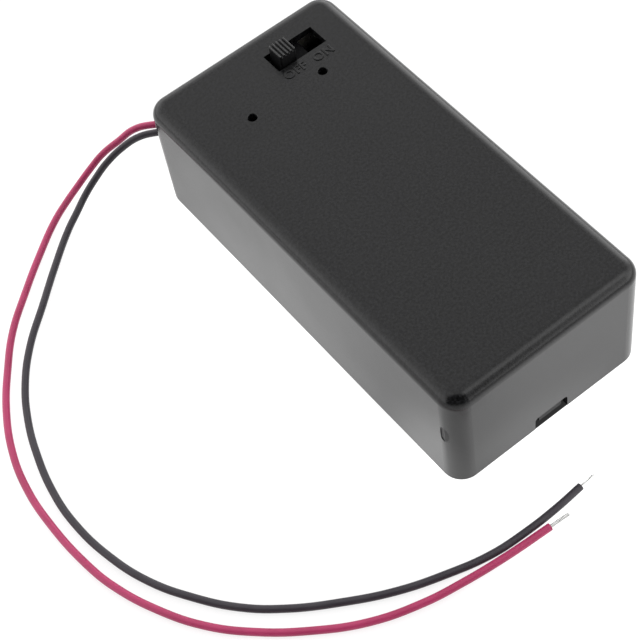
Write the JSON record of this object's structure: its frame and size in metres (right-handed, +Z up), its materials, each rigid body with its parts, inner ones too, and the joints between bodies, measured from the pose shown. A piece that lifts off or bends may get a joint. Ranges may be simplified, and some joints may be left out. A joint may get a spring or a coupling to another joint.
{
  "type": "nine-volt battery holder",
  "caption": "Closed black plastic holder for a nine-volt block battery, with a slide switch in the top, a bottom lid that slides off, and a red and a black lead with bare ends.",
  "frame": {"origin": "under the middle of the case, on the surface it rests on", "axes": "+Z up, +Y along the case towards the end with the switch and the leads, +X towards the side that the switch is nearer to"},
  "size_m": [0.079, 0.092, 0.022],
  "materials": {
    "case_plastic": "fine matte texture, semi-gloss",
    "board": "pressed board, satin",
    "snap_metal": "nickel plated",
    "tag_metal": "tinned brass",
    "frame_steel": "plated sheet",
    "switch_plastic": "satin",
    "clip_metal": "spring bronze",
    "red_insulation": "smooth soft insulation",
    "black_insulation": "smooth soft insulation",
    "tinned_wire": "tinned strands"
  },
  "bodies": {
    "case": {"case_body": "case_plastic", "contact_plate": "board", "snap_socket": "snap_metal", "socket_rivet": "snap_metal", "snap_stud": "snap_metal", "socket_tag": "tag_metal", "stud_tag": "tag_metal", "switch_frame": "frame_steel", "switch_base": "switch_plastic", "terminal_off": "tag_metal", "terminal_common": "tag_metal", "terminal_on": "tag_metal", "jumper_wire": "red_insulation", "red_lead": "red_insulation", "red_lead_tip": "tinned_wire", "black_lead": "black_insulation", "black_lead_tip": "tinned_wire"},
    "knob": {"switch_knob": "switch_plastic", "switch_clip": "clip_metal"},
    "lid": {"lid": "case_plastic"}
  },
  "joints": [
    {"name": "knob_slide", "type": "slide", "parent": "case", "child": "knob", "axis": [1, 0, 0], "range_m": [0, 0.0042]},
    {"name": "lid_slide", "type": "slide", "parent": "case", "child": "lid", "axis": [0, 1, 0], "range_m": [0, 0.066]}
  ]
}
